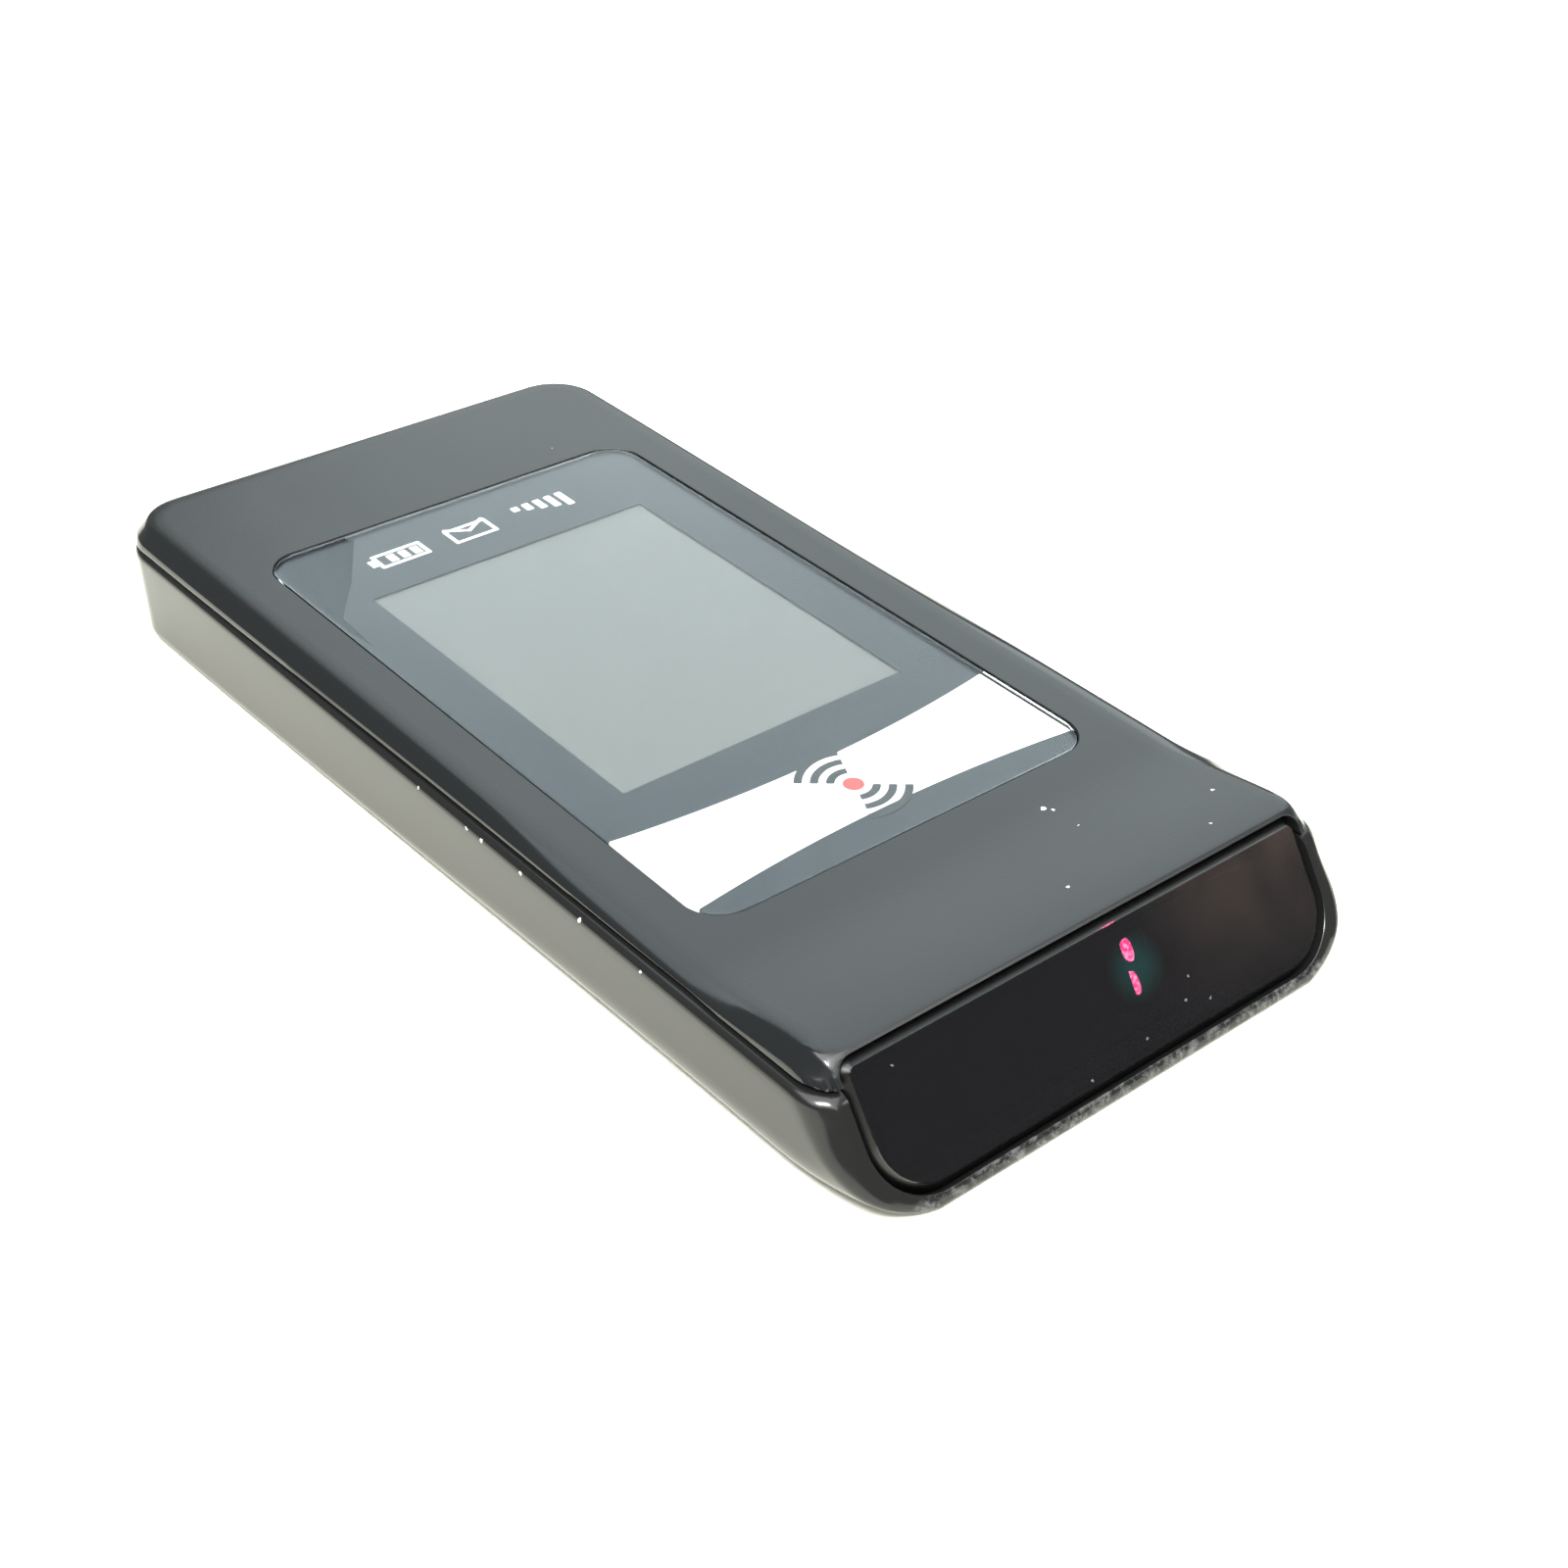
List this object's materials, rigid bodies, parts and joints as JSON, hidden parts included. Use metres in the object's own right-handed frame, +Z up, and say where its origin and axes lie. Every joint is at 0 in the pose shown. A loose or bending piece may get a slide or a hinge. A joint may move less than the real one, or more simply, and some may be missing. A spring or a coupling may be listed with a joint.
{
  "type": "pager",
  "caption": "Slim wedge-shaped staff pager with a flush colour display, a printed lens and a slanted dark alert window at one end.",
  "frame": {"origin": "centre of the pager's box, on the plane that its back rests on", "axes": "+Z up out of the display side, +Y from the alert window towards the charging end, +X across to the side with the key"},
  "size_m": [0.057, 0.1164, 0.0129],
  "materials": {
    "shell": "black moulded plastic, satin face and glossy edges",
    "lens": "hard clear lens over dark blue-grey print",
    "screen": "grey-green display that is switched off",
    "window": "polished dark tinted acrylic",
    "adhesive": "black foam tape",
    "tray": "white moulded frame",
    "light_guide": "milky light guide",
    "flex": "amber flexible circuit",
    "socket": "ivory connector plastic",
    "board": "green solder mask",
    "chip": "black moulded package",
    "steel": "plated steel",
    "gold": "gold plated contact",
    "brass": "dense sintered alloy",
    "cell": "foil pouch",
    "rubber": "soft moulded rubber",
    "light": "lit red lamp",
    "key": "fine-grained black plastic",
    "label": "blank silver-grey label"
  },
  "bodies": {
    "case": {"front_housing": "shell", "rear_housing": "shell", "display_lens": "lens", "lens_adhesive": "adhesive", "lcd_panel": "screen", "backlight": "light_guide", "display_tray": "tray", "display_flex": "flex", "display_socket": "socket", "alert_window": "window", "window_adhesive": "adhesive", "light_board": "board", "alert_led_upper": "light", "alert_led_lower": "light", "light_flex": "flex", "flex_socket": "socket", "main_board": "board", "radio_shield": "steel", "decoder_chip": "chip", "loop_antenna": "steel", "battery_cell": "cell", "battery_socket": "socket", "motor_can": "steel", "motor_boot": "rubber", "sounder": "chip", "charge_contact_left": "gold", "charge_contact_right": "gold", "case_screw_1": "steel", "case_screw_2": "steel", "case_screw_3": "steel", "case_screw_4": "steel", "key_switch": "steel", "rear_label": "label"},
    "read_key": {"side_key": "key", "switch_plunger": "key"},
    "spinner": {"motor_shaft": "steel", "motor_weight": "brass"}
  },
  "joints": [
    {"name": "key_press", "type": "slide", "parent": "case", "child": "read_key", "axis": [-1, 0, 0], "range_m": [0, 0.0005], "stiffness_N_per_m": 1500, "springref_m": -0.0004},
    {"name": "weight_spin", "type": "hinge", "parent": "case", "child": "spinner", "pos_m": [-0.0076, -0.03793, 0.00506], "axis": [1, 0, 0], "continuous": true}
  ]
}
